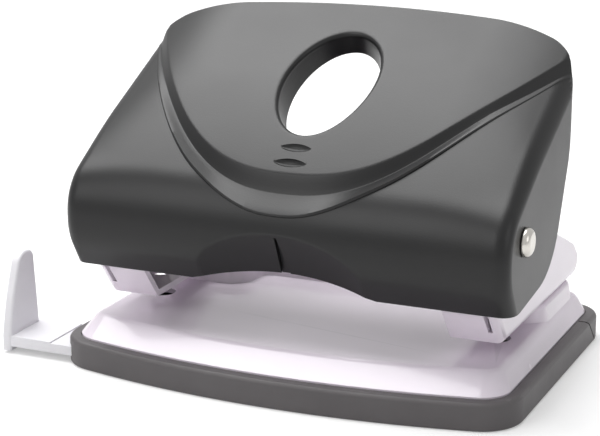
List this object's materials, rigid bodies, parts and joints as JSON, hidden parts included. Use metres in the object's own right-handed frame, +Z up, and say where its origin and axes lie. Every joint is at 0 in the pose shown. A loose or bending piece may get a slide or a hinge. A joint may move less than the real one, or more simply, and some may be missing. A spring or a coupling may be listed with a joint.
{
  "type": "desk hole punch",
  "caption": "Manual desk hole punch: a hooded hand lever with an oval finger hole over a pressed base, chip tray and pull-out paper guide.",
  "frame": {"origin": "centre of the tray's underside, on the table", "axes": "+X along the punch to the user's right, -Y towards the user, +Z up"},
  "size_m": [0.1193, 0.077, 0.075],
  "materials": {
    "cover_plastic": "satin",
    "tray_plastic": "matt",
    "guide_plastic": "satin",
    "enamel": "gloss",
    "steel": "plain",
    "nickel": "polished"
  },
  "bodies": {
    "base": {"base_plate": "enamel", "tray_heel": "tray_plastic", "left_punch_bracket": "enamel", "left_bracket_rivets": "steel", "left_pivot_pin": "nickel", "left_pivot_retainer": "steel", "left_punch_spring": "steel", "right_punch_bracket": "enamel", "right_bracket_rivets": "steel", "right_pivot_pin": "nickel", "right_pivot_retainer": "steel", "right_punch_spring": "steel"},
    "tray": {"chip_tray": "tray_plastic"},
    "guide": {"paper_guide": "guide_plastic"},
    "lever": {"lever_cover": "cover_plastic", "lever_press_plate": "steel", "press_plate_screws": "steel"},
    "left_punch": {"left_punch_pin": "steel", "left_spring_washer": "steel", "left_retaining_clip": "steel"},
    "right_punch": {"right_punch_pin": "steel", "right_spring_washer": "steel", "right_retaining_clip": "steel"}
  },
  "joints": [
    {"name": "lever_hinge", "type": "hinge", "parent": "base", "child": "lever", "pos_m": [0, -0.0207, 0.0367], "axis": [-1, 0, 0], "range_deg": [0, 25], "stiffness_Nm_per_rad": 0.46, "springref_deg": -14.9},
    {"name": "tray_hinge", "type": "hinge", "parent": "base", "child": "tray", "pos_m": [0, 0.0312, 0.0002], "axis": [1, 0, 0], "range_deg": [0, 60]},
    {"name": "guide_slide", "type": "slide", "parent": "tray", "child": "guide", "axis": [-1, 0, 0], "range_m": [-0.0105, 0.08]},
    {"name": "left_punch_slide", "type": "slide", "parent": "base", "child": "left_punch", "axis": [0, 0, -1], "range_m": [0, 0.00668], "deforming": ["left_punch_spring"]},
    {"name": "right_punch_slide", "type": "slide", "parent": "base", "child": "right_punch", "axis": [0, 0, -1], "range_m": [0, 0.00668], "deforming": ["right_punch_spring"]}
  ],
  "couplings": [
    {"joint": "left_punch_slide", "follows": "lever_hinge", "m_per_rad": 0.0153},
    {"joint": "right_punch_slide", "follows": "lever_hinge", "m_per_rad": 0.0153}
  ]
}
